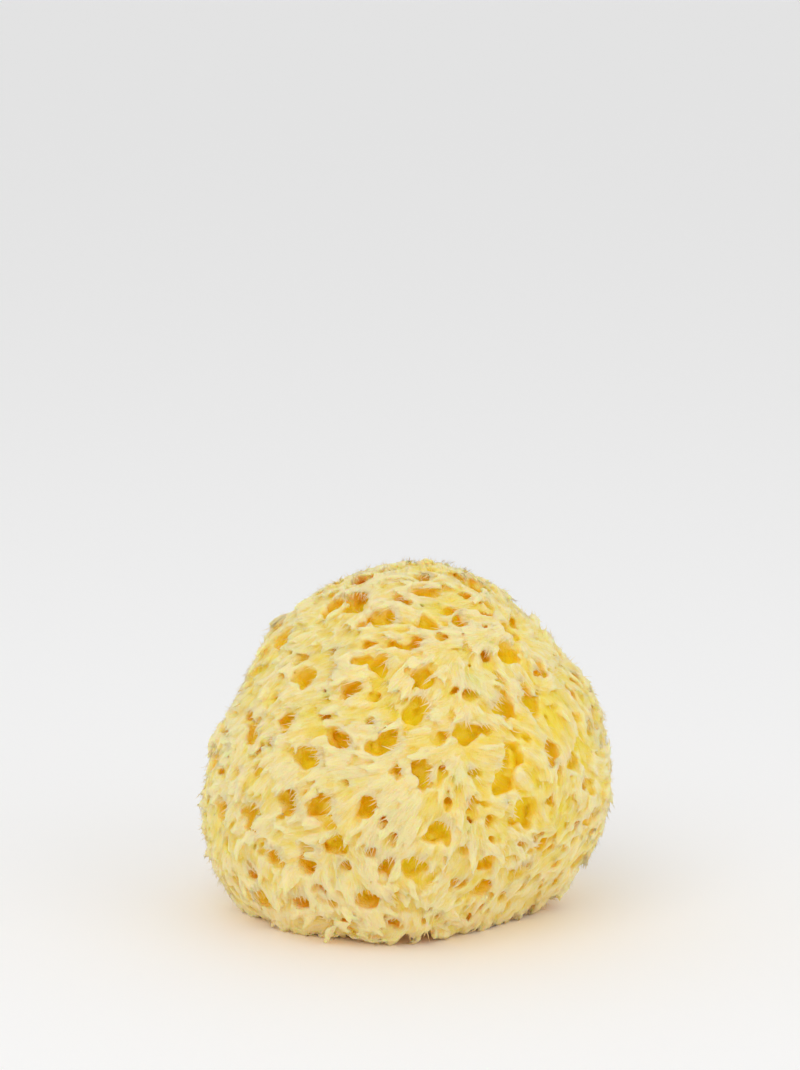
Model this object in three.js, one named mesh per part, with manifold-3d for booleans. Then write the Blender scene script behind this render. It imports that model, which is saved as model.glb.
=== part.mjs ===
// A honeycomb bath sponge: one grown body of spongin fibre with nothing joined to it.
// It is a dome, wider than it is deep, trimmed flat where it was cut from its rock, and open
// pits (the mouths of its water canals) cover the dome and show in the cut base.
// Millimetres, +Z up. The origin is on the flat base, under the middle, and it faces -Y.
// The dome is the reach of the fibre tips.
import * as THREE from "three";
import { mergeVertices } from "three/addons/utils/BufferGeometryUtils.js";
import Module from "manifold-3d";

// The ellipsoid that the dome grows from, before its lobes
const WIDTH = 95;
const DEPTH = 87;
const HEIGHT = 80;
const CENTRE_HEIGHT = 30; // the level of the widest part, where growth spread from
const UNDER_DEPTH = 42; // how far the rounded underside reaches down before it is trimmed
const DOME_DETAIL = 10; // cuts along each icosahedron edge
const RIPPLE_HEIGHT = 0.8; // the small unevenness between the pits

// Broad swellings and hollows of the dome. Azimuth 0 faces -Y and 90 faces +X; both angles
// are about the growth centre, in degrees, as is the spread. The height is in mm.
const LOBES = [
  { azimuth: -88, elevation: -30, height: 3.5, spread: 24 },
  { azimuth: -88, elevation: 30, height: -4, spread: 32 },
  { azimuth: 92, elevation: 48, height: -3.5, spread: 20 },
  { azimuth: 46, elevation: -31, height: -6, spread: 24 },
  { azimuth: 10, elevation: 12, height: 1.5, spread: 35 },
  { azimuth: 150, elevation: 40, height: 2.5, spread: 28 },
  { azimuth: -140, elevation: 20, height: -2, spread: 30 },
];

// The pits of the face, as azimuth, elevation, width, height, lean to the right and depth,
// in degrees and mm.
const FACE_PITS = [
  [-25, 5, 6.2, 5.2, 0, 11], [-7, 24, 4.2, 7.2, 48, 12], [4, 17, 3.4, 3.6, 0, 9],
  [9, -2, 4.8, 4.8, 0, 9], [30, 11, 5.6, 4.8, 10, 12], [34, 18, 4.2, 5.6, 20, 10],
  [38, 1, 6.6, 5.8, -20, 12], [34, 32, 5.0, 5.0, 0, 11], [46, 33, 4.6, 8.0, -12, 10],
  [45, 47, 5.6, 4.6, 0, 8], [58, 40, 3.8, 4.0, 0, 7], [49, 17, 4.6, 5.4, 25, 10],
  [58, 12, 5.0, 3.8, 0, 8], [20, 26, 6.4, 4.0, 0, 7], [3, 33, 4.2, 6.2, 45, 8],
  [-20, 39, 3.8, 3.8, 0, 8], [-11, 47, 3.4, 5.0, -15, 7], [7, 43, 4.8, 4.2, -20, 8],
  [16, 73, 6.4, 4.0, 0, 7], [-13, 62, 4.6, 4.4, 0, 8], [12, 60, 4.4, 3.6, 0, 8],
  [30, 60, 3.0, 3.8, -20, 6], [-36, 5, 4.6, 6.0, -10, 9], [-50, -2, 4.6, 6.2, 20, 8],
  [-43, -13, 6.8, 4.0, 20, 9], [-21, -7, 5.4, 4.2, 15, 8], [-11, 6, 4.4, 4.4, 0, 8],
  [2, -13, 4.6, 5.8, 0, 7], [18, -21, 4.2, 4.2, 30, 7], [27, -14, 3.6, 5.0, 25, 7],
  [50, -12, 4.6, 4.4, 0, 8], [-12, -24, 5.2, 4.8, 0, 7], [-36, -27, 5.0, 4.4, 0, 7],
  [-21, 24, 6.4, 3.4, 25, 7], [-42, 27, 4.0, 3.6, 0, 7],
];

// The pits of the sides, top and back lie on a golden spiral down the dome, in degrees and mm.
const GOLDEN_SHARE = (Math.sqrt(5) - 1) / 2; // of a whole turn
const SPIRAL_PITS = 64;
const SPIRAL_ELEVATIONS = [84, -36];
const SPIRAL_SCATTER = 5; // how far a pit may lie off the spiral
const SPIRAL_WIDTHS = [3.4, 6.2];
const SPIRAL_HEIGHTS = [3.6, 6.6];
const SPIRAL_DEPTHS = [6, 11];
const LOWEST_MOUTH = 6; // no pit opens in the rim of the base
const PIT_GAP = 3; // the least wall between two mouths

// The canals cut across in the base lie on a sunflower spiral round its solid middle.
const BASE_CANALS = 14;
const BASE_RADII = [7, 27];
const CANAL_WIDTHS = [2.6, 4.6];
const CANAL_HEIGHTS = [2.8, 5];
const CANAL_DEPTHS = [5, 10];

// A pit's section from its floor outwards, as shares of its half width and of its depth
const PIT_PROFILE = [[0, 1], [0.72, 0.8], [1, 0.15]];
const PIT_SIDES = 8;
const PIT_BULGE = 0.2; // how far its three corners stand out, as a share of its half width
const PIT_FLARE = 1.25; // its width just outside the mouth, as a share of the stated one
const PIT_RISE = 2.5; // how far outside the mouth the cut starts

const MERGE_DISTANCE = 1e-3;
const growthCentre = new THREE.Vector3(0, 0, CENTRE_HEIGHT);
const wasm = await Module();
wasm.setup();

// A repeatable number from 0 to 1 for a whole number and a use of it.
function scatter(index, use) {
  const wave = Math.sin(index * 12.9898 + use * 78.233) * 43758.5453;
  return wave - Math.floor(wave);
}

function scatterIn([low, high], index, use) {
  return THREE.MathUtils.lerp(low, high, scatter(index, use));
}

function direction(azimuth, elevation) {
  const a = THREE.MathUtils.degToRad(azimuth);
  const e = THREE.MathUtils.degToRad(elevation);
  return new THREE.Vector3(Math.sin(a) * Math.cos(e), -Math.cos(a) * Math.cos(e), Math.sin(e));
}

const lobeDirections = LOBES.map((lobe) => direction(lobe.azimuth, lobe.elevation));

// How far the dome reaches from the growth centre along the unit vector u.
function domeRadius(u) {
  const reachUp = u.z > 0 ? HEIGHT - CENTRE_HEIGHT : UNDER_DEPTH;
  let radius = 1 / Math.hypot(u.x / (WIDTH / 2), u.y / (DEPTH / 2), u.z / reachUp);
  LOBES.forEach(({ height, spread }, i) => {
    const away = THREE.MathUtils.radToDeg(u.angleTo(lobeDirections[i]));
    radius += height * Math.exp(-((away / spread) ** 2));
  });
  const ripple = Math.sin(9 * u.x + 2) * Math.sin(10 * u.y + 1) * Math.sin(9 * u.z + 1);
  return radius + RIPPLE_HEIGHT * ripple;
}

// The closed geometry as a solid. Triangles that shrink to a line at a pole are dropped.
function solidOf(geometry) {
  const bare = geometry.clone().deleteAttribute("normal").deleteAttribute("uv");
  const merged = mergeVertices(bare, MERGE_DISTANCE);
  const triangles = [];
  for (let i = 0; i < merged.index.count; i += 3) {
    const [a, b, c] = [0, 1, 2].map((k) => merged.index.getX(i + k));
    if (a !== b && b !== c && c !== a) triangles.push(a, b, c);
  }
  const vertProperties = merged.attributes.position.array;
  const triVerts = new Uint32Array(triangles);
  return new wasm.Manifold(new wasm.Mesh({ numProp: 3, vertProperties, triVerts }));
}

function geometryOf(solid) {
  const { vertProperties, triVerts } = solid.getMesh();
  const geometry = new THREE.BufferGeometry();
  geometry.setAttribute("position", new THREE.BufferAttribute(vertProperties, 3));
  geometry.setIndex(new THREE.BufferAttribute(triVerts, 1));
  geometry.computeVertexNormals();
  return geometry;
}

function dome() {
  const geometry = new THREE.IcosahedronGeometry(1, DOME_DETAIL);
  const position = geometry.attributes.position;
  const u = new THREE.Vector3();
  for (let i = 0; i < position.count; i++) {
    u.fromBufferAttribute(position, i).normalize();
    u.multiplyScalar(domeRadius(u)).add(growthCentre);
    position.setXYZ(i, u.x, u.y, u.z);
  }
  return solidOf(geometry);
}

// Everything below the base plane, which the knife takes off.
function belowBase() {
  const span = 2 * (WIDTH + DEPTH);
  return solidOf(new THREE.BoxGeometry(span, span, span).translate(0, 0, -span / 2));
}

// The space of one pit, opening outwards along the unit vector out from its mouth.
// Its section has three soft corners, turned differently in each pit.
function pitSpace({ mouth, out, width, height, lean, depth, index }) {
  const outline = PIT_PROFILE.map(([share, down]) => new THREE.Vector2(share, -down * depth));
  outline.push(new THREE.Vector2(PIT_FLARE, PIT_RISE), new THREE.Vector2(0, PIT_RISE));
  const geometry = new THREE.LatheGeometry(outline, PIT_SIDES);
  const position = geometry.attributes.position;
  const turn = 2 * Math.PI * scatter(index, 5);
  for (let i = 0; i < position.count; i++) {
    const [x, z] = [position.getX(i), position.getZ(i)];
    const bulge = 1 + PIT_BULGE * Math.sin(3 * Math.atan2(z, x) + turn);
    position.setXYZ(i, (x * bulge * width) / 2, position.getY(i), (z * bulge * height) / 2);
  }
  const up = Math.abs(out.z) < 0.99 ? new THREE.Vector3(0, 0, 1) : new THREE.Vector3(0, 1, 0);
  const right = up.cross(out).normalize();
  const down = new THREE.Vector3().crossVectors(right, out);
  geometry.rotateY(-THREE.MathUtils.degToRad(lean));
  geometry.applyMatrix4(new THREE.Matrix4().makeBasis(right, out, down).setPosition(mouth));
  return solidOf(geometry);
}

function pitOnDome(azimuth, elevation, width, height, lean, depth, index) {
  const out = direction(azimuth, elevation);
  const mouth = growthCentre.clone().addScaledVector(out, domeRadius(out));
  return { mouth, out, width, height, lean, depth, index };
}

function standsClear(pit, others) {
  return others.every((other) => {
    const wall = pit.mouth.distanceTo(other.mouth) - (pit.height + other.height) / 2;
    return wall > PIT_GAP;
  });
}

// The spiral's pits that keep clear of those already taken. Equal steps of the sine of the
// elevation space them evenly over the dome.
function spiralPits(taken) {
  const [top, foot] = SPIRAL_ELEVATIONS.map((e) => Math.sin(THREE.MathUtils.degToRad(e)));
  const found = [];
  for (let i = 0; i < SPIRAL_PITS; i++) {
    const level = THREE.MathUtils.lerp(top, foot, i / (SPIRAL_PITS - 1));
    const elevation = THREE.MathUtils.radToDeg(Math.asin(level));
    const azimuth = 360 * ((i * GOLDEN_SHARE) % 1);
    const pit = pitOnDome(
      azimuth + scatterIn([-SPIRAL_SCATTER, SPIRAL_SCATTER], i, 1),
      elevation + scatterIn([-SPIRAL_SCATTER, SPIRAL_SCATTER], i, 2),
      scatterIn(SPIRAL_WIDTHS, i, 3),
      scatterIn(SPIRAL_HEIGHTS, i, 4),
      scatterIn([-90, 90], i, 6),
      scatterIn(SPIRAL_DEPTHS, i, 7),
      i,
    );
    if (pit.mouth.z > LOWEST_MOUTH && standsClear(pit, [...taken, ...found])) found.push(pit);
  }
  return found;
}

function baseCanals() {
  return Array.from({ length: BASE_CANALS }, (_, i) => {
    const turn = 2 * Math.PI * i * GOLDEN_SHARE;
    const share = Math.sqrt((i + 0.5) / BASE_CANALS);
    const radius = THREE.MathUtils.lerp(...BASE_RADII, share);
    return {
      mouth: new THREE.Vector3(radius * Math.cos(turn), radius * Math.sin(turn), 0),
      out: new THREE.Vector3(0, 0, -1),
      width: scatterIn(CANAL_WIDTHS, i, 8),
      height: scatterIn(CANAL_HEIGHTS, i, 9),
      lean: scatterIn([0, 90], i, 11),
      depth: scatterIn(CANAL_DEPTHS, i, 10),
      index: i,
    };
  });
}

function spongeSolid() {
  const face = FACE_PITS.map((pit, i) => pitOnDome(...pit, i));
  const pits = [...face, ...spiralPits(face), ...baseCanals()];
  return pits.reduce((body, pit) => body.subtract(pitSpace(pit)), dome().subtract(belowBase()));
}

// The geometry moved level until the origin is under the middle of its box.
function centred(geometry) {
  geometry.computeBoundingBox();
  const middle = geometry.boundingBox.getCenter(new THREE.Vector3());
  return geometry.translate(-middle.x, -middle.y, 0);
}

const sponge = new THREE.Mesh(
  centred(geometryOf(spongeSolid())),
  new THREE.MeshStandardMaterial({ color: 0xecd486, roughness: 0.95, metalness: 0 }),
);
sponge.name = "sponge";

const part = new THREE.Group();
part.add(sponge);
export default part;
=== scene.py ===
"""The looks of a honeycomb bath sponge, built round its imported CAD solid.

The CAD solid gives the dome, its large pits and its flat base. Here it becomes a field of
voxels, whose walls are combed along the flow of the fibre. Smaller slanted pits are pressed in
between its own, which get ragged edges. Tufts of webbed fingers grow on the walls, and fine
strands fray from them. Lengths are in mm, but for the camera's and the studio's.
"""

import math

import bpy
import numpy as np
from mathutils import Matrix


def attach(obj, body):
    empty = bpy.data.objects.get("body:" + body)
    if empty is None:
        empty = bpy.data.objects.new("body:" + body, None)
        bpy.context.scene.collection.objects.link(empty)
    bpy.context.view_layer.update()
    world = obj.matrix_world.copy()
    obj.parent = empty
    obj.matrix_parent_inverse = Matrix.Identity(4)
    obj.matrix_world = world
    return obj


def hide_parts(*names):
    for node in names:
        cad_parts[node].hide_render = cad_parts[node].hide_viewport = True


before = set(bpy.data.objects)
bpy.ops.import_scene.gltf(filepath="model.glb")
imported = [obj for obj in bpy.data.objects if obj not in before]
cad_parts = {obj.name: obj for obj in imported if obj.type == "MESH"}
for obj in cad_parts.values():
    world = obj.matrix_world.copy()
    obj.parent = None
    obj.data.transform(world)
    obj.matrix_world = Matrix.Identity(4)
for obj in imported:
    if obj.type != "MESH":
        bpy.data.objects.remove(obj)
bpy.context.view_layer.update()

import openvdb as vdb
from mathutils import Vector

MM = 0.001
SEED = 7  # draws start from it, mostly with a number added, or from a piece's name
PIECE_FACES = 194000  # triangles in a piece at most
GROWTH_CENTRE = np.array([0.0, 0.0, 30.0])

# The field of voxels
VOXEL = 0.42
MARGIN = 8.0  # empty room round the sponge
CLOSING = 6.0  # wider than half of any pit: filling this far out and back closes them all
SOLID_BAND = 8.0  # how far from the CAD solid's surface its distance is known
FILLED_BAND = 14.0  # and how far from the surface that lies CLOSING out from it
SMOOTHING = 2  # passes of blur on the CAD solid's facets
SLOPE_STEP = 1.5  # over which the way out is measured
BASE_RIM = 2.5  # how far up the rim of the flat base is calmer than the rest
BASE_CALM = 0.8  # how much calmer
# Steps towards a surface: how many, and the longest
PROJECTING = (40, 3.0)
PROJECTING_START = 20.0
PROJECTING_SHARE = 0.8  # of the known distance that a step goes
MARCHING = (24, 0.6)
LOWEST_OUTWARD = -0.75  # how far below level a place on the outside may face

# The pits pressed in between the CAD solid's own: least and most radius, and how many
PIT_SIZES = ((2.0, 3.4, 80), (1.3, 2.0, 200), (0.7, 1.3, 220))
PIT_TRIES = 30
# Where pits are closer than elsewhere: azimuth, elevation, spread, factor
PIT_SHARES = ((-30, -25, 30, 3.0), (45, 10, 35, 2.2), (0, 70, 25, 2.5))
MOST_SHARE = 3.0
PIT_WALL = 0.9  # the least wall between two of them
PIT_PROBE = 1.2  # how far below a pit's radius the CAD solid has to be whole
PIT_CLEARANCE = 0.6  # and by how much more than its radius
LEAST_DEPTH = 3.2
PIT_DEPTH = 2.2  # a pit's further depth over its radius, before its own factor
DEPTH_FACTORS = (0.2, 1.2)
LEAN = 0.8  # how far the pits and walls lean along the flow as they rise
LEAN_FACTORS = (0.6, 1.5)
STRETCHES = (0.9, 1.9)  # how far a pit's section is drawn out along the flow
CORNER_COUNTS = (3, 6)  # from, and up to less than
CORNERS = 0.9  # how far a pit's round section turns into one with corners
MOST_TAPER = 1.4
PIT_ROOM = (1.6, 1.0)  # the room that a pit may change: times its radius, and more
IN_A_PIT = 0.5  # how much further away the CAD solid is there than its filled outside
WIDENING = 0.6  # how far the CAD solid's own pits are opened
REOPENED_FROM = 1.1  # pits with a greater radius are cleared of tufts
REOPENED_SHARE = 0.78  # over this share of it
FLOOR_DEPTH = 3.5  # the least depth of the fibre that closes the deepest pits
FLOOR_RELIEF = 2.8  # how much deeper it is in places
RAGGED = 2.1  # how far all pits' edges wander
RAGGED_WIDTH = 1.7  # over which they do

# The relief of the walls
RECESS = 0.5  # the walls' tops below the reach of the fibre
STREAK_HEIGHT = 1.5
STREAK_WIDTH = 1.3
STREAK_STEPS = (-3, -2, -1, 0, 1, 2, 3)  # noise is averaged over these steps along the fibre
STREAK_STEP = 0.9
STREAK_RANGE = (0.3, 0.4)  # where the average starts to count, and over how much
SWELL_HEIGHT = 1.6
SWELL_WIDTH = 7.0

# Tufts. Depths are those of the walls below the reach of the fibre.
TUFT_GAP = 2.7
TUFT_TRIES = 40000
TUFT_DEPTH = 2.8  # the deepest wall that carries one
TUFT_LOWEST = 1.5
TUFT_SIZES = (0.7, 1.3)
FINGER_COUNTS = (3, 7)  # from, and up to less than
FINGER_RISES = (0.1, 0.5)  # how far a tuft stands up, against 1 along the fibre
FINGER_FAN = (0.08, 0.22)
FINGER_STRAY = 0.1
FINGER_SPACING = (0.6, 0.95)
FINGER_SHIFT = 0.7  # along the fibre
FINGER_TREND = 0.1  # bend along the fibre
FINGER_DROOP = (0.0, 0.25)
FINGER_SINK = 0.9  # how deep its root is
FINGER_LEAST = 1.4
FINGER_LENGTHS = (1.6, 4.2)
FINGER_WIDTHS = (0.3, 0.55)
FINGER_TAPER = (0.6, 1.5)
FLATTENING = 0.6  # of a finger's section, across the fibre
FINGER_ROOM = 1.6  # times its width: the room beside a finger that it may change
WEB = 0.35  # how close surfaces are webbed together
# Where tufts are longer or shorter than elsewhere: azimuth, elevation, spread, factor
TUFT_LENGTHS = (
    (48, 22, 26, 0.6),
    (35, 0, 18, 0.75),
    (-35, -25, 30, 1.6),
    (-30, 30, 30, 1.15),
    (10, -30, 30, 1.2),
)

# Ribs: longer single fingers, closer together near the places given as for the pits
RIB_TRIES = 9000
RIB_GAP = 5.0
RIB_SHARES = ((-30, -30, 32, 3.0), (0, 75, 30, 2.0))
RIB_DEPTH = 1.8
RIB_RISES = (0.15, 0.4)
RIB_STRAY = 0.12
RIB_SINK = 0.8
RIB_DROOP = (0.2, 0.5)
RIB_SWAY = 0.1
RIB_LENGTHS = (4.0, 8.5)
RIB_WIDTHS = (0.35, 0.6)

# Strands. Widths are radii.
LIT_AS_WALL = 0.65  # how far a strand's shading follows the wall, as light passes through
STRAND_TAPER = 0.8
GIRTH_FACTORS = (0.75, 1.25)
LOWEST_STRAND = 0.05  # strands keep this far above the ground
HELD = 0.1  # a frayed strand's root is at most this far out of the fibre
FRAYS = 2  # at each finger's end
FRAY_STARTS = (0.5, 0.95)  # how far along the finger
FRAY_ASIDE = 0.8
FRAY_STRAY = 0.2
FRAY_TREND = (-0.2, 0.3)
FRAY_SWAY = 0.16
FRAY_LENGTHS = (0.8, 2.0)
FRAY_WIDTHS = (0.06, 0.12)
RIM_TRIES = 90000
RIM_AHEAD = 1.4  # a rim is where the wall ends this far on along the fibre,
RIM_DROP = 2.0  # with at least this drop
RIM_DEPTH = 1.9
RIM_GAP = 0.33
RIM_RISES = (0.0, 0.3)
RIM_STRAY = 0.2
RIM_SINK = 0.5
RIM_DROOP = (0.0, 0.4)
RIM_SWAY = 0.2
RIM_LENGTHS = (1.2, 3.2)
RIM_WIDTHS = (0.1, 0.2)
FUZZ_TRIES = 22000
FUZZ_DEPTH = 2.6
FUZZ_RISES = (0.5, 1.4)
FUZZ_STRAY = 0.3
FUZZ_SINK = 0.3
FUZZ_SWAY = 0.3
FUZZ_LENGTHS = (0.6, 1.7)
FUZZ_WIDTHS = (0.04, 0.08)

# The fibre's flow: it hangs down, and near each place here it is pulled another way too.
# Azimuth, elevation and spread in degrees, then the pull.
PULLS = (
    (-25, 25, 30, (-1.8, 0.0, 0.2)),
    (-45, 55, 25, (-1.5, 0.0, 0.3)),
    (-75, 0, 25, (-1.0, 0.3, 0.2)),
    (0, 88, 24, (0.2, -1.5, 1.0)),
    (45, 30, 26, (1.0, 0.0, 0.2)),
    (30, 60, 20, (-1.2, 0.0, 0.0)),
    (150, 20, 40, (1.1, 0.0, 0.2)),
    (-140, 0, 35, (-0.6, 0.6, 0.0)),
)
SWIRL = 1.3  # the most that noise adds to the pull, each way
SWIRL_WIDTH = 11.0

# The spongin's looks. It turns from pale to amber with depth, partly its own tone and partly
# painted shade, and in hollows, as painted shade.
AMBER_FROM = 0.4  # how far below the reach of the fibre it starts to turn
AMBER_DEPTH = 4.7  # how much further down it is all amber
# painted shade: how much more amber the hollows are coloured, for the light they lose
HOLLOW_PAINTED_SHADE = 1.3
AIR_PASSES = 10  # blur that tells a hollow from a ridge, for the painted shade in hollows
FLAT_AIR = 0.5  # the share of air round a place on a flat wall
# Its colour from the pale tips down to the deepest pits, where the amber is partly painted shade
SPONGIN = (
    (0.0, (0.980, 0.788, 0.420)),
    (0.25, (0.987, 0.748, 0.262)),
    (0.55, (0.994, 0.716, 0.115)),
    (1.0, (1.000, 0.722, 0.022)),
)
NOISE_RANGE = (0.3, 0.7)  # what a noise node mostly gives
PATCH_WIDTH = 9.0
PATCH_SHIFT = 0.11  # how far patches shift the colour along the ramp
SPECK_WIDTH = 1.6
SPECK_SHIFT = 0.08
GRAIN_WIDTH = 0.45
GRAIN_STEPS = (-3, -2, -1, 0, 1, 2, 3)  # noise is averaged over these steps along the fibre
GRAIN_STEP = 0.4
GRAIN_RANGE = (0.4, 0.6)  # what the average mostly gives
# painted shade and highlight: how far the grain's grooves turn amber and its ridges lighter
GRAIN_SHIFT = 0.1
BUMP_HEIGHT = 0.2
BUMP_STRENGTH = 0.8
ROUGHNESS = (0.75, 0.95)
GLOSS = 0.12
SCATTER_BY_COLOUR = (1.0, 0.6, 0.2)  # how far red, green and blue light go in the fibre
SCATTER_REACH = 2.4

# The camera and the studio, in metres
CAMERA_TARGET = Vector((0, 0, 0.036))
CAMERA_ELEVATION = math.radians(14)
CAMERA_DISTANCE = 0.75
FRAME_WIDTH = 0.1798  # how much the frame shows from side to side, at the sponge
AIM_ABOVE = 0.0488  # the sponge lies low in the photograph's frame
AIM_LEFT = 0.0011
SENSOR_WIDTH = 36
CAMERA_SIGHT = 100
FLOOR_REACH = 30
FLOOR_COLOUR = (0.97, 0.97, 0.97, 1)
FLOOR_ROUGHNESS = 0.8
WORLD_STRENGTH = 0.79
LIT_PLACE = Vector((0, 0, 0.04))
LIGHT_SIZE = 0.8
LIGHTS = (("key", (-0.35, -0.7, 0.9), 2.5), ("fill", (0.8, -0.6, 0.5), 1.2))
# Light gets deep into the pits and out again, which makes them amber and not black.
DIFFUSE_BOUNCES = 16
MOST_BOUNCES = 20


def unit(vectors):
    """The vectors made 1 long. A vector of no length stays as it is."""
    return vectors / np.maximum(np.linalg.norm(vectors, axis=-1, keepdims=True), 1e-9)


def dot(a, b):
    return np.sum(a * b, axis=-1, keepdims=True)


def direction(azimuth, elevation):
    """The unit vector at angles in degrees: azimuth 0 faces -Y and 90 faces +X."""
    a, e = math.radians(azimuth), math.radians(elevation)
    return np.array([math.sin(a) * math.cos(e), -math.cos(a) * math.cos(e), math.sin(e)])


def weight_near(outward, azimuth, elevation, spread):
    """1 where outward points at the angles, fading away over the spread, in degrees."""
    nearness = np.clip(outward @ direction(azimuth, elevation), -1, 1)
    return np.exp(-((np.degrees(np.arccos(nearness)) / spread) ** 2))


class Block:
    """A block of voxels that holds the sponge. Every field is an array of its shape."""

    def __init__(self, low, high):
        self.first = np.floor((low - MARGIN) / VOXEL).astype(int)
        self.shape = tuple(np.ceil((high + MARGIN) / VOXEL).astype(int) - self.first + 1)

    def array(self, grid):
        values = np.empty(self.shape, np.float32)
        grid.copyToArray(values, ijk=tuple(int(i) for i in self.first))
        return values

    def places(self, mask):
        """The indices of the voxels in the mask, and where they are."""
        index = np.nonzero(mask)
        return index, (np.stack(index, axis=1) + self.first).astype(np.float32) * VOXEL

    def nearest(self, field, points):
        """The field's value at the voxel nearest to each point."""
        cell = np.rint(points / np.float32(VOXEL)).astype(np.int32) - self.first.astype(np.int32)
        cell = np.clip(cell, 0, np.array(self.shape, np.int32) - 1)
        return field[cell[:, 0], cell[:, 1], cell[:, 2]]

    def sample(self, field, points):
        """The field's value at each point, between its voxels."""
        last = np.array(self.shape) - 1.001  # just short of the last voxel, which has no next
        scaled = np.clip(points / VOXEL - self.first, 0, last)
        cell = scaled.astype(int)
        t = scaled - cell
        total = 0.0
        for corner in range(8):
            step = np.array([(corner >> axis) & 1 for axis in range(3)])
            weight = np.prod(np.where(step, t, 1 - t), axis=1)
            i, j, k = (cell + step).T
            total = total + weight * field[i, j, k]
        return total

    def slope(self, field, points):
        """The unit vector along which the field rises, at each point."""
        shifts = np.eye(3) * SLOPE_STEP
        rises = [self.sample(field, points + s) - self.sample(field, points - s) for s in shifts]
        return unit(np.stack(rises, axis=1))

    def noise(self, width, seed):
        """A field of smooth noise from 0 to 1 that changes over about width mm."""
        rng = np.random.default_rng(seed)
        coarse = [int(n * VOXEL / width) + 3 for n in self.shape]
        field = rng.random(coarse, dtype=np.float32)
        for axis, n in enumerate(self.shape):
            place = np.arange(n) * VOXEL / width
            cell = place.astype(int)
            t = place - cell
            t = (t * t * (3 - 2 * t)).astype(np.float32)
            weights = np.zeros((n, coarse[axis]), np.float32)
            weights[np.arange(n), cell] = 1 - t
            weights[np.arange(n), cell + 1] = t
            field = np.moveaxis(np.tensordot(weights, field, axes=(1, axis)), 0, axis)
        return np.ascontiguousarray(field)

    def surface(self, field):
        """The field's zero surface as points, triangles and quads."""
        grid = vdb.FloatGrid(MARGIN)
        grid.transform = vdb.createLinearTransform(voxelSize=VOXEL)
        grid.copyFromArray(field, ijk=tuple(int(i) for i in self.first))
        return grid.convertToPolygons(isovalue=0.0, adaptivity=0.0)

    def heights(self):
        """How high each layer of voxels is."""
        return ((np.arange(self.shape[2]) + self.first[2]) * VOXEL).astype(np.float32)

    def part(self, low, high):
        """The slices of the voxels between two corners, and where those voxels are."""
        start = np.maximum(np.floor(low / VOXEL).astype(int) - self.first, 0)
        stop = np.minimum(np.ceil(high / VOXEL).astype(int) - self.first + 1, self.shape)
        axes = [(np.arange(start[a], stop[a]) + self.first[a]) * VOXEL for a in range(3)]
        return (
            tuple(slice(start[a], stop[a]) for a in range(3)),
            np.stack(np.meshgrid(*axes, indexing="ij"), axis=-1),
        )


class Flow:
    """The way the fibre is combed over the surface."""

    def __init__(self, block):
        self.block = block
        self.swirls = [block.noise(SWIRL_WIDTH, SEED + axis) for axis in range(3)]

    def __call__(self, points, normals):
        """The unit vectors in the surface, along the fibre."""
        pull = np.zeros_like(points)
        pull[:, 2] = -1.0
        outward = unit(points - GROWTH_CENTRE)
        for *place, push in PULLS:
            pull += weight_near(outward, *place)[:, None] * np.array(push)
        for axis in range(3):
            pull[:, axis] += SWIRL * (2 * self.block.nearest(self.swirls[axis], points) - 1)
        return unit(pull - normals * dot(pull, normals))


def level_set(points, half_width, **faces):
    transform = vdb.createLinearTransform(voxelSize=VOXEL)
    return vdb.FloatGrid.createLevelSetFromPolygons(
        points, transform=transform, halfWidth=half_width / VOXEL, **faces
    )


def arrays_of(mesh):
    """A mesh's corners in mm and its triangles."""
    points = np.empty(len(mesh.vertices) * 3, np.float32)
    mesh.vertices.foreach_get("co", points)
    mesh.calc_loop_triangles()
    triangles = np.empty(len(mesh.loop_triangles) * 3, np.int32)
    mesh.loop_triangles.foreach_get("vertices", triangles)
    return points.reshape(-1, 3) / MM, triangles.reshape(-1, 3)


def blurred(field, passes):
    """The field after passes of a small blur along each axis."""
    for _ in range(passes):
        for axis in range(3):
            field = (np.roll(field, 1, axis) + 2 * field + np.roll(field, -1, axis)) / 4
    return field


def distance_fields(block, points, triangles):
    """How far each voxel is outside the CAD solid, and outside it with its pits filled."""
    solid = level_set(points, SOLID_BAND, triangles=triangles)
    around, _, quads = solid.convertToPolygons(isovalue=CLOSING, adaptivity=0.0)
    filled = level_set(around, FILLED_BAND, quads=quads)
    return blurred(block.array(solid), SMOOTHING), block.array(filled) + CLOSING


def base_share(points):
    """1 on the flat base, 0 from the top of its rim."""
    return np.clip(1 - points[..., 2] / BASE_RIM, 0, 1)


def project(block, reach, outward):
    """Where the lines from the growth centre along outward leave the filled sponge."""
    steps, longest = PROJECTING
    distance = np.full(len(outward), PROJECTING_START)
    for _ in range(steps):
        outside = block.sample(reach, GROWTH_CENTRE + outward * distance[:, None])
        distance -= np.clip(outside, -longest, longest) * PROJECTING_SHARE
    return GROWTH_CENTRE + outward * distance[:, None]


def pit_places(block, solid, reach):
    """Where pits go, from the widest down: mouth, radius. They keep off each other and off
    the CAD solid's own pits."""
    rng = np.random.default_rng(SEED)
    mouths, radii = np.empty((0, 3)), np.empty(0)
    for low, high, wanted in PIT_SIZES:
        outward = unit(rng.normal(size=(wanted * PIT_TRIES, 3)))
        share = local_factor(GROWTH_CENTRE + outward, PIT_SHARES)
        outward = outward[rng.random(len(outward)) < share / MOST_SHARE]
        sizes = rng.uniform(low, high, len(outward))
        places = project(block, reach, outward)
        inside = places - outward * (sizes + PIT_PROBE)[:, None]
        clear = block.sample(solid, inside) < -(sizes + PIT_CLEARANCE)
        taken = 0
        for place, size in zip(places[clear], sizes[clear]):
            gap = np.linalg.norm(mouths - place, axis=1) - radii - size
            if len(gap) and gap.min() < PIT_WALL:
                continue
            mouths = np.vstack([mouths, place])
            radii = np.append(radii, size)
            taken += 1
            if taken == wanted:
                break
    return mouths, radii


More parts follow.
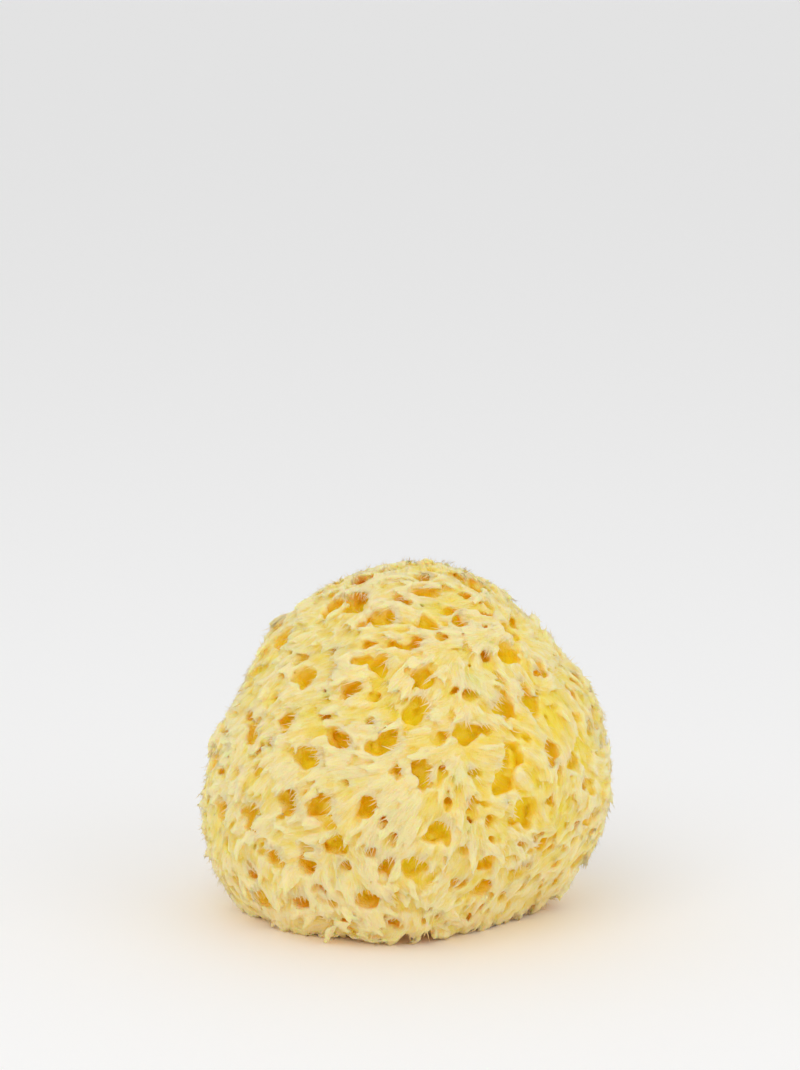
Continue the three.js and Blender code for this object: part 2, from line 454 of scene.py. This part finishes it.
def cornered(angle, count):
    """The radius at each angle of a section with count soft corners, about 1 on average."""
    side = math.pi / count
    polygon = np.cos(side) / np.cos(np.mod(angle, 2 * side) - side)
    return 1 + CORNERS * (polygon - 0.5 - 0.5 * math.cos(side))


def open_pits(block, solid, reach):
    """The room in and over the CAD solid's pits, with ragged edges: above zero inside it."""
    edge = WIDENING + RAGGED * (block.noise(RAGGED_WIDTH, SEED + 20) - 0.5)
    return np.minimum(solid + edge, solid - reach - IN_A_PIT)


def press_pits(block, flow, field, reach, mouths, radii):
    """Presses slanted, tapered pits of uneven section into the field."""
    rng = np.random.default_rng(SEED + 1)
    normals = block.slope(reach, mouths)
    flows = flow(mouths, normals)
    ragged = RAGGED * (block.noise(RAGGED_WIDTH, SEED + 21) - 0.5)
    leans = LEAN * rng.uniform(*LEAN_FACTORS, len(mouths)) * (1 - base_share(mouths))
    depths = LEAST_DEPTH + radii * PIT_DEPTH * rng.uniform(*DEPTH_FACTORS, len(mouths))
    stretches = rng.uniform(*STRETCHES, len(mouths))
    turns = rng.uniform(0, 2 * math.pi, len(mouths))
    corner_counts = rng.integers(*CORNER_COUNTS, len(mouths))
    for mouth, radius, normal, along, lean, depth, stretch, turn, corner_count in zip(
        mouths, radii, normals, flows, leans, depths, stretches, turns, corner_counts
    ):
        across = np.cross(normal, along)
        foot = mouth - depth * (normal + lean * along)
        room = radius * PIT_ROOM[0] + PIT_ROOM[1]
        part, places = block.part(np.minimum(mouth, foot) - room, np.maximum(mouth, foot) + room)
        away = places - mouth
        height = away @ normal
        ahead = (away @ along - lean * height) / stretch
        aside = away @ across
        angle = np.arctan2(aside, ahead)
        uneven = cornered(angle + turn, corner_count)
        taper = np.sqrt(np.clip(1 + height / depth, 0, MOST_TAPER))
        inside = radius * uneven * taper - np.hypot(ahead, aside)
        inside = np.where(height < -depth, -1.0, inside)
        field[part] = np.maximum(field[part], inside + ragged[part])


def combed_field(block, flow, solid, reach):
    """The sponge's body before its tufts: below zero inside the fibre."""
    field = np.maximum(reach + RECESS, solid)
    lowest = -(RECESS + STREAK_HEIGHT + SWELL_HEIGHT + 2 * VOXEL)
    index, points = block.places((reach > lowest) & (reach < 0))
    depth = reach[index][:, None]
    slopes = np.gradient(reach, VOXEL)
    normals = unit(np.stack([rise[index] for rise in slopes], axis=1))
    along = flow(points, normals)
    lean = LEAN * (1 - base_share(points))[:, None]
    mouth = points - depth * (normals + lean * along)
    grain = block.noise(STREAK_WIDTH, SEED + 11)
    streak = np.zeros(len(points), np.float32)
    for step in STREAK_STEPS:
        streak += block.nearest(grain, mouth + along * (step * STREAK_STEP))
    streak = np.clip((streak / len(STREAK_STEPS) - STREAK_RANGE[0]) / STREAK_RANGE[1], 0, 1)
    swell = block.nearest(block.noise(SWELL_WIDTH, SEED + 12), mouth)
    relief = STREAK_HEIGHT * streak + SWELL_HEIGHT * swell
    relief = relief * (1 - BASE_CALM * base_share(points))
    field[index] = np.maximum(reach[index] + RECESS + relief, solid[index])
    return field


def surface_under(block, field, places, normals):
    """The places moved inwards along the normals to the field's surface, and how far."""
    steps, longest = MARCHING
    travelled = np.zeros(len(places))
    for _ in range(steps):
        ahead = block.sample(field, places - normals * travelled[:, None])
        travelled += np.clip(ahead, 0, longest)
    return places - normals * travelled[:, None], travelled


def spaced(points, gap):
    """The indices of points that keep the gap from those taken before them."""
    taken = {}
    kept = []
    around = [(x, y, z) for x in (-1, 0, 1) for y in (-1, 0, 1) for z in (-1, 0, 1)]
    for i, (x, y, z) in enumerate(np.floor(points / gap).astype(int).tolist()):
        near = [j for a, b, c in around for j in taken.get((x + a, y + b, z + c), ())]
        if near and (np.sum((points[near] - points[i]) ** 2, axis=1) < gap * gap).any():
            continue
        taken.setdefault((x, y, z), []).append(i)
        kept.append(i)
    return np.array(kept)


def local_factor(points, factors):
    """The product of the factors near each point, each fading to 1 away from its place."""
    outward = unit(points - GROWTH_CENTRE)
    product = np.ones(len(points))
    for *place, factor in factors:
        product *= 1 + (factor - 1) * weight_near(outward, *place)
    return product


def surface_places(block, flow, field, reach, seed, tries):
    """Random places on the sponge's outside: where they are, how far under the reach of the
    fibre, the way out, and the way along the fibre."""
    rng = np.random.default_rng(seed)
    outward = unit(rng.normal(size=(tries, 3)))
    outward = outward[outward[:, 2] > LOWEST_OUTWARD]
    tops = project(block, reach, outward)
    normals = block.slope(reach, tops)
    places, depths = surface_under(block, field, tops, normals)
    return places, depths, normals, flow(places, normals)


def plan_tufts(block, flow, field, reach):
    """The fingers of the tufts, as arrays: each tuft is a row of fingers across the flow."""
    rng = np.random.default_rng(SEED + 30)
    places, depths, normals, flows = surface_places(
        block, flow, field, reach, SEED + 31, TUFT_TRIES
    )
    high = np.nonzero((depths < TUFT_DEPTH) & (places[:, 2] > TUFT_LOWEST))[0]
    chosen = high[spaced(places[high], TUFT_GAP)]
    places, normals, flows = places[chosen], normals[chosen], flows[chosen]
    counts = rng.integers(*FINGER_COUNTS, len(places))
    owner = np.repeat(np.arange(len(places)), counts)
    rank = np.concatenate([np.arange(n) - (n - 1) / 2 for n in counts])
    sides = np.cross(normals, flows)[owner]
    size = (rng.uniform(*TUFT_SIZES, len(places)) * local_factor(places, TUFT_LENGTHS))[owner]
    count = len(owner)
    rise = rng.uniform(*FINGER_RISES, len(places))[owner, None]
    ways = unit(
        normals[owner] * rise
        + flows[owner]
        + sides * (rank * rng.uniform(*FINGER_FAN, count))[:, None]
        + rng.normal(0, FINGER_STRAY, (count, 3))
    )
    spacing = rng.uniform(*FINGER_SPACING, count)
    roots = places[owner] + sides * (rank * spacing * size)[:, None]
    roots = roots + flows[owner] * rng.uniform(-FINGER_SHIFT, FINGER_SHIFT, (count, 1))
    droop = rng.uniform(*FINGER_DROOP, (count, 1))
    return {
        "root": roots - ways * FINGER_SINK,
        "way": ways,
        "bend": flows[owner] * FINGER_TREND - normals[owner] * droop,
        "side": sides,
        "length": FINGER_LEAST + size * rng.uniform(*FINGER_LENGTHS, count),
        "width": size * rng.uniform(*FINGER_WIDTHS, count),
        "normal": normals[owner],
        "flow": flows[owner],
    }


def plan_ribs(block, flow, field, reach):
    """Long single fingers that arch along the fibre, some of them over pits."""
    places, depths, normals, flows = surface_places(
        block, flow, field, reach, SEED + 41, RIB_TRIES
    )
    rng = np.random.default_rng(SEED + 40)
    share = local_factor(places, RIB_SHARES)
    high = np.nonzero((depths < RIB_DEPTH) & (rng.random(len(places)) < share / MOST_SHARE))[0]
    chosen = high[spaced(places[high], RIB_GAP)]
    places, normals, flows = places[chosen], normals[chosen], flows[chosen]
    count = len(chosen)
    rise = rng.uniform(*RIB_RISES, (count, 1))
    ways = unit(flows + normals * rise + rng.normal(0, RIB_STRAY, (count, 3)))
    droop = rng.uniform(*RIB_DROOP, (count, 1))
    return {
        "root": places - ways * RIB_SINK,
        "way": ways,
        "bend": -normals * droop + rng.normal(0, RIB_SWAY, (count, 3)),
        "side": np.cross(normals, flows),
        "length": rng.uniform(*RIB_LENGTHS, count),
        "width": rng.uniform(*RIB_WIDTHS, count),
    }


def grow_fingers(block, field, fingers):
    """Joins fingers to the field, webbed to it and to each other where they are close."""
    shrinking, power = FINGER_TAPER
    for root, way, bend, side, length, width in zip(
        *(fingers[k] for k in ("root", "way", "bend", "side", "length", "width"))
    ):
        tip = root + length * (way + bend)
        room = width * FINGER_ROOM + WEB
        part, places = block.part(np.minimum(root, tip) - room, np.maximum(root, tip) + room)
        away = places - root
        t = np.clip((away @ way) / length, 0, 1)
        off = away - length * (t[..., None] * way + (t * t)[..., None] * bend)
        aside = off @ side
        across = np.sqrt(np.sum(off * off, axis=-1) - FLATTENING * aside * aside)
        outside = across - width * (1 - shrinking * t**power)
        old = field[part]
        mix = np.clip(0.5 + (old - outside) / (2 * WEB), 0, 1)
        field[part] = old * (1 - mix) + outside * mix - WEB * mix * (1 - mix)


def quick_mesh(name, points, faces):
    """An object from arrays: points in mm, and faces that all have as many corners."""
    mesh = bpy.data.meshes.new(name)
    count, corners = faces.shape
    mesh.vertices.add(len(points))
    mesh.vertices.foreach_set("co", (points * MM).astype(np.float32).ravel())
    mesh.loops.add(count * corners)
    mesh.loops.foreach_set("vertex_index", faces.astype(np.int32).ravel())
    mesh.polygons.add(count)
    mesh.polygons.foreach_set("loop_start", np.arange(0, count * corners, corners, dtype=np.int32))
    mesh.update(calc_edges=True)
    piece = bpy.data.objects.new(name, mesh)
    bpy.context.scene.collection.objects.link(piece)
    return piece


def apply_modifiers(piece):
    shown = bpy.context.evaluated_depsgraph_get()
    made = bpy.data.meshes.new_from_object(piece.evaluated_get(shown))
    old = piece.data
    piece.modifiers.clear()
    piece.data = made
    made.name = piece.name
    bpy.data.meshes.remove(old)


def one_island(points, triangles):
    """The points and triangles of the largest connected surface."""
    label = np.arange(len(points))
    edges = np.concatenate([triangles[:, [0, 1]], triangles[:, [1, 2]], triangles[:, [2, 0]]])
    while True:
        lowest = np.minimum(label[edges[:, 0]], label[edges[:, 1]])
        joined = label.copy()
        np.minimum.at(joined, edges[:, 0], lowest)
        np.minimum.at(joined, edges[:, 1], lowest)
        joined = joined[joined]
        if np.array_equal(joined, label):
            break
        label = joined
    kept = label[triangles[:, 0]] == np.bincount(label[triangles[:, 0]]).argmax()
    used, renumbered = np.unique(triangles[kept], return_inverse=True)
    return points[used], renumbered.reshape(-1, 3)


def make_body(block, field):
    points, triangles, quads = block.surface(field)
    split = np.concatenate([triangles, quads[:, [0, 1, 2]], quads[:, [0, 2, 3]]]).astype(int)
    points, faces = one_island(points, split)
    body = quick_mesh("sponge_body", points, faces)
    thinner = body.modifiers.new("thin", "DECIMATE")
    thinner.ratio = min(1.0, PIECE_FACES / len(faces))
    thinner.use_collapse_triangulate = True
    apply_modifiers(body)
    body.data.shade_smooth()
    return body


def strand_faces(sides, rings):
    """One strand's triangles: between its rings of corners, to its tip and over its root."""
    faces = []
    for j in range(rings - 1):
        for k in range(sides):
            a, b = j * sides + k, j * sides + (k + 1) % sides
            faces += [(a, b, b + sides), (a, b + sides, a + sides)]
    last = (rings - 1) * sides
    faces += [(last + k, last + (k + 1) % sides, rings * sides) for k in range(sides)]
    faces += [(0, k + 1, k) for k in range(1, sides - 1)]
    return np.array(faces)


def light_as_wall(piece, outward, normals):
    """Turns the piece's shading from its corners' own way out towards the walls' way out."""
    lit = unit(outward * (1 - LIT_AS_WALL) + normals[:, None] * LIT_AS_WALL)
    piece.data.shade_smooth()
    piece.data.normals_split_custom_set_from_vertices(lit.reshape(-1, 3))


def make_strands(name, strands, sides, rings):
    """A piece of tapered, bent strands, each a closed mesh."""
    ways, normals = strands["way"], strands["normal"]
    count = len(ways)
    rng = np.random.default_rng(len(name))
    t = np.arange(rings + 1) / rings
    bent = ways[:, None] * t[:, None] + strands["bend"][:, None] * (t * t)[:, None]
    path = strands["root"][:, None] + strands["length"][:, None, None] * bent
    side = unit(np.cross(ways, normals))
    over = unit(np.cross(ways, side))
    angle = (np.arange(sides) / sides * 2 * math.pi)[:, None]
    ring = side[:, None, None] * np.cos(angle) + over[:, None, None] * np.sin(angle)
    girth = strands["width"][:, None] * (1 - t[:-1]) ** STRAND_TAPER
    girth = girth * rng.uniform(*GIRTH_FACTORS, (count, rings))
    rims = path[:, :-1, None] + girth[:, :, None, None] * ring
    points = np.concatenate([rims.reshape(count, -1, 3), path[:, -1:]], axis=1)
    points[..., 2] = np.maximum(points[..., 2], LOWEST_STRAND)
    first = np.arange(count)[:, None, None] * points.shape[1]
    faces = strand_faces(sides, rings) + first
    piece = quick_mesh(name, points.reshape(-1, 3), faces.reshape(-1, 3))
    outward = np.broadcast_to(ring, (count, rings, sides, 3)).reshape(count, -1, 3)
    outward = np.concatenate([outward, ways[:, None]], axis=1)
    light_as_wall(piece, outward, normals)
    return piece


def frayed_ends(fingers):
    """Fine strands that go on from the fingers' ends."""
    rng = np.random.default_rng(SEED + 50)
    pick = np.repeat(np.arange(len(fingers["root"])), FRAYS)
    count = len(pick)
    f = {key: value[pick] for key, value in fingers.items()}
    start = rng.uniform(*FRAY_STARTS, count)[:, None]
    root = f["root"] + f["length"][:, None] * (f["way"] * start + f["bend"] * start**2)
    aside = rng.uniform(-FRAY_ASIDE, FRAY_ASIDE, count) * f["width"]
    way = unit(f["way"] + 2 * start * f["bend"] + rng.normal(0, FRAY_STRAY, (count, 3)))
    trend = f["flow"] * rng.uniform(*FRAY_TREND, (count, 1))
    return {
        "root": root + f["side"] * aside[:, None],
        "way": way,
        "bend": trend + rng.normal(0, FRAY_SWAY, (count, 3)),
        "length": rng.uniform(*FRAY_LENGTHS, count),
        "width": rng.uniform(*FRAY_WIDTHS, count),
        "normal": f["normal"],
    }


def rim_spikes(block, flow, field, reach):
    """Short strands that stick out over the pits from the edge that the fibre comes from."""
    places, depths, normals, flows = surface_places(
        block, flow, field, reach, SEED + 60, RIM_TRIES
    )
    rng = np.random.default_rng(SEED + 61)
    ahead = places + normals * depths[:, None] + flows * RIM_AHEAD
    _, depths_ahead = surface_under(block, field, ahead, normals)
    rim = np.nonzero((depths < RIM_DEPTH) & (depths_ahead > depths + RIM_DROP))[0]
    rim = rim[spaced(places[rim], RIM_GAP)]
    count = len(rim)
    normals, flows = normals[rim], flows[rim]
    rise = rng.uniform(*RIM_RISES, (count, 1))
    way = unit(flows + normals * rise + rng.normal(0, RIM_STRAY, (count, 3)))
    droop = rng.uniform(*RIM_DROOP, (count, 1))
    return {
        "root": places[rim] - way * RIM_SINK,
        "way": way,
        "bend": -normals * droop + rng.normal(0, RIM_SWAY, (count, 3)),
        "length": rng.uniform(*RIM_LENGTHS, count),
        "width": rng.uniform(*RIM_WIDTHS, count),
        "normal": normals,
    }


def fuzz(block, flow, field, reach):
    """The finest strands, all over the walls."""
    places, depths, normals, flows = surface_places(
        block, flow, field, reach, SEED + 70, FUZZ_TRIES
    )
    rng = np.random.default_rng(SEED + 71)
    high = np.nonzero(depths < FUZZ_DEPTH)[0]
    count = len(high)
    normals, flows = normals[high], flows[high]
    rise = rng.uniform(*FUZZ_RISES, (count, 1))
    way = unit(flows + normals * rise + rng.normal(0, FUZZ_STRAY, (count, 3)))
    return {
        "root": places[high] - way * FUZZ_SINK,
        "way": way,
        "bend": rng.normal(0, FUZZ_SWAY, (count, 3)),
        "length": rng.uniform(*FUZZ_LENGTHS, count),
        "width": rng.uniform(*FUZZ_WIDTHS, count),
        "normal": normals,
    }


def rooted(block, field, strands):
    """The strands whose roots are in the fibre."""
    held = block.sample(field, strands["root"]) < HELD
    return {key: value[held] for key, value in strands.items()}


class Nodes:
    """Short calls that add nodes to a material."""

    def __init__(self, material):
        material.use_nodes = True
        self.tree = material.node_tree
        self.shader = self.tree.nodes["Principled BSDF"]

    def link(self, value, socket):
        """Sets a socket to a plain value or links it to another node's output."""
        if isinstance(value, bpy.types.NodeSocket):
            self.tree.links.new(value, socket)
        else:
            socket.default_value = value

    def attribute(self, name):
        node = self.tree.nodes.new("ShaderNodeAttribute")
        node.attribute_name = name
        return node

    def math(self, operation, *values):
        node = self.tree.nodes.new("ShaderNodeMath")
        node.operation = operation
        for value, socket in zip(values, node.inputs):
            self.link(value, socket)
        return node.outputs[0]

    def vector(self, operation, *values):
        node = self.tree.nodes.new("ShaderNodeVectorMath")
        node.operation = operation
        for value, socket in zip(values, node.inputs):
            self.link(value, socket)
        return node.outputs[0]

    def noise(self, place, width, detail=2.0):
        """Noise from about 0.3 to 0.7 that changes over about width mm."""
        node = self.tree.nodes.new("ShaderNodeTexNoise")
        node.inputs["Scale"].default_value = 1 / (width * MM)
        node.inputs["Detail"].default_value = detail
        self.link(place, node.inputs["Vector"])
        return node.outputs["Fac"]

    def spread(self, value, low, high, to_low=0.0, to_high=1.0):
        """The value moved from one range to another, and kept inside it."""
        node = self.tree.nodes.new("ShaderNodeMapRange")
        for v, socket in zip((value, low, high, to_low, to_high), node.inputs):
            self.link(v, socket)
        return node.outputs[0]

    def shift(self, place, width, most, detail=2.0):
        """Noise over about width mm, from -most to most."""
        return self.spread(self.noise(place, width, detail), *NOISE_RANGE, -most, most)

    def bump(self, height):
        node = self.tree.nodes.new("ShaderNodeBump")
        node.inputs["Distance"].default_value = BUMP_HEIGHT * MM
        node.inputs["Strength"].default_value = BUMP_STRENGTH
        self.link(height, node.inputs["Height"])
        return node.outputs["Normal"]

    def ramp(self, value, stops):
        node = self.tree.nodes.new("ShaderNodeValToRGB")
        for i, (place, colour) in enumerate(stops):
            stop = node.color_ramp.elements[i] if i < 2 else node.color_ramp.elements.new(place)
            stop.position = place
            stop.color = (*colour, 1)
        self.link(value, node.inputs["Fac"])
        return node.outputs["Color"]

    def place(self):
        return self.tree.nodes.new("ShaderNodeTexCoord").outputs["Object"]


def combed_grain(nodes, place):
    """Noise drawn out along the flow of the fibre, from 0 to 1."""
    flow = nodes.attribute("flow").outputs["Vector"]
    total = 0.0
    for step in GRAIN_STEPS:
        shift = nodes.vector("SCALE", flow)
        shift.node.inputs["Scale"].default_value = step * GRAIN_STEP * MM
        shifted = nodes.vector("ADD", place, shift)
        total = nodes.math("ADD", total, nodes.noise(shifted, GRAIN_WIDTH, detail=0.0))
    mean = nodes.math("DIVIDE", total, len(GRAIN_STEPS))
    return nodes.spread(mean, *GRAIN_RANGE)


def spongin_material(name, is_body):
    """Spongin fibre, turned amber by the depth attribute: partly its own tone, partly painted
    shade. The body also has grain along the flow, with painted shade in its grooves and painted
    highlight on its ridges, and lets some light through.
    """
    material = bpy.data.materials.new(name)
    nodes = Nodes(material)
    shader = nodes.shader
    place = nodes.place()
    specks = nodes.shift(place, SPECK_WIDTH, SPECK_SHIFT, detail=3.0)
    shade = nodes.math("ADD", nodes.shift(place, PATCH_WIDTH, PATCH_SHIFT), specks)
    # The depth attribute: amber with depth, partly the fibre's own tone and partly painted shade,
    # and amber in hollows as painted shade
    shade = nodes.math("ADD", nodes.attribute("depth").outputs["Fac"], shade)
    if is_body:
        grain = combed_grain(nodes, place)
        # painted shade and highlight: the grain's grooves, sunk by the bump, turn more amber and
        # its ridges lighter
        painted_grain_shade = nodes.spread(grain, 0.0, 1.0, GRAIN_SHIFT, -GRAIN_SHIFT)
        shade = nodes.math("ADD", shade, painted_grain_shade)
        nodes.link(nodes.bump(grain), shader.inputs["Normal"])
    nodes.link(nodes.ramp(shade, SPONGIN), shader.inputs["Base Color"])
    roughness = nodes.spread(specks, -SPECK_SHIFT, SPECK_SHIFT, *ROUGHNESS)
    nodes.link(roughness, shader.inputs["Roughness"])
    shader.inputs["Specular IOR Level"].default_value = GLOSS
    shader.inputs["Subsurface Weight"].default_value = 1.0 if is_body else 0.0
    shader.inputs["Subsurface Radius"].default_value = SCATTER_BY_COLOUR
    shader.inputs["Subsurface Scale"].default_value = SCATTER_REACH * MM
    return material


def make_camera():
    back = Vector((0, -math.cos(CAMERA_ELEVATION), math.sin(CAMERA_ELEVATION)))
    up = Vector((0, math.sin(CAMERA_ELEVATION), math.cos(CAMERA_ELEVATION)))
    data = bpy.data.cameras.new("camera")
    data.sensor_fit = "HORIZONTAL"
    data.sensor_width = SENSOR_WIDTH
    data.lens = SENSOR_WIDTH * CAMERA_DISTANCE / FRAME_WIDTH
    data.clip_end = CAMERA_SIGHT
    camera = bpy.data.objects.new("camera", data)
    camera.location = CAMERA_TARGET + back * CAMERA_DISTANCE
    aim = CAMERA_TARGET + up * AIM_ABOVE - Vector((AIM_LEFT, 0, 0))
    camera.rotation_euler = (aim - camera.location).to_track_quat("-Z", "Y").to_euler()
    bpy.context.scene.collection.objects.link(camera)
    bpy.context.scene.camera = camera


def make_floor():
    corners = np.array([(-1, -1, 0), (1, -1, 0), (1, 1, 0), (-1, 1, 0)]) * FLOOR_REACH / MM
    floor = quick_mesh("floor", corners, np.array([(0, 1, 2, 3)]))
    pale = bpy.data.materials.new("floor")
    pale.use_nodes = True
    shader = pale.node_tree.nodes["Principled BSDF"]
    shader.inputs["Base Color"].default_value = FLOOR_COLOUR
    shader.inputs["Roughness"].default_value = FLOOR_ROUGHNESS
    floor.data.materials.append(pale)


def make_light(name, place, power):
    data = bpy.data.lights.new(name, "AREA")
    data.size = LIGHT_SIZE
    data.energy = power
    light = bpy.data.objects.new(name, data)
    light.location = place
    light.rotation_euler = (LIT_PLACE - Vector(place)).to_track_quat("-Z", "Y").to_euler()
    bpy.context.scene.collection.objects.link(light)


def make_studio():
    make_floor()
    world = bpy.data.worlds.new("world")
    world.use_nodes = True
    background = world.node_tree.nodes["Background"]
    background.inputs["Color"].default_value = (1, 1, 1, 1)
    background.inputs["Strength"].default_value = WORLD_STRENGTH
    bpy.context.scene.world = world
    for light in LIGHTS:
        make_light(*light)
    bpy.context.scene.view_settings.view_transform = "Standard"
    bpy.context.scene.cycles.diffuse_bounces = DIFFUSE_BOUNCES
    bpy.context.scene.cycles.max_bounces = MOST_BOUNCES


def grown_sponge(block, flow, solid, reach):
    """The whole sponge as a field that is below zero in the fibre, and its tufts' fingers."""
    field = combed_field(block, flow, solid, reach)
    mouths, radii = pit_places(block, solid, reach)
    press_pits(block, flow, field, reach, mouths, radii)
    fingers = plan_tufts(block, flow, field, reach)
    grow_fingers(block, field, fingers)
    wide = radii > REOPENED_FROM
    press_pits(block, flow, field, reach, mouths[wide], radii[wide] * REOPENED_SHARE)
    field = np.maximum(field, open_pits(block, solid, reach))
    floors = reach + FLOOR_DEPTH + FLOOR_RELIEF * block.noise(RAGGED_WIDTH, SEED + 22)
    field = np.minimum(field, floors)
    grow_fingers(block, field, plan_ribs(block, flow, field, reach))
    field = (field + blurred(field, 1)) / 2
    return np.maximum(field, -block.heights()), fingers


def set_depth_and_painted_shade(piece, block, reach, air):
    """Stores how deep in the sponge and how shut in each corner is, from 0 to 1. The colour turns
    amber by it: with depth partly the fibre's own tone and partly painted shade, in hollows as
    painted shade.
    """
    corners, _ = arrays_of(piece.data)
    below = (-block.sample(reach, corners) - AMBER_FROM) / AMBER_DEPTH
    # painted shade: corners with less air round them are coloured more amber
    painted_hollow_shade = (FLAT_AIR - block.sample(air, corners)) * HOLLOW_PAINTED_SHADE
    attribute = piece.data.attributes.new("depth", "FLOAT", "POINT")
    attribute.data.foreach_set("value", np.clip(below + painted_hollow_shade, 0, 1).astype(np.float32))


def set_flow(piece, block, flow, reach):
    """Stores the way the fibre runs at each corner."""
    corners, _ = arrays_of(piece.data)
    ways = flow(corners, block.slope(reach, corners))
    attribute = piece.data.attributes.new("flow", "FLOAT_VECTOR", "POINT")
    attribute.data.foreach_set("vector", ways.astype(np.float32).ravel())


def add_piece(piece, material):
    piece.data.materials.append(material)
    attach(piece, "root")
    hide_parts("sponge")


def make_sponge():
    points, triangles = arrays_of(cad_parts["sponge"].data)
    block = Block(points.min(0), points.max(0))
    flow = Flow(block)
    solid, reach = distance_fields(block, points, triangles.astype(np.uint32))
    field, fingers = grown_sponge(block, flow, solid, reach)
    body = make_body(block, field)
    frays = rooted(block, field, frayed_ends(fingers))
    strands = (
        make_strands("frayed_ends", frays, sides=3, rings=2),
        make_strands("rim_spikes", rim_spikes(block, flow, field, reach), sides=4, rings=3),
        make_strands("fuzz", fuzz(block, flow, field, reach), sides=3, rings=2),
    )
    set_flow(body, block, flow, reach)
    # The share of air round each place, which tells the hollows that get painted shade
    air = blurred((field > 0).astype(np.float32), AIR_PASSES)
    for piece in (body, *strands):
        set_depth_and_painted_shade(piece, block, reach, air)
    add_piece(body, spongin_material("spongin", is_body=True))
    strand_fibre = spongin_material("spongin_fibre", is_body=False)
    for piece in strands:
        add_piece(piece, strand_fibre)


make_camera()
make_studio()
make_sponge()
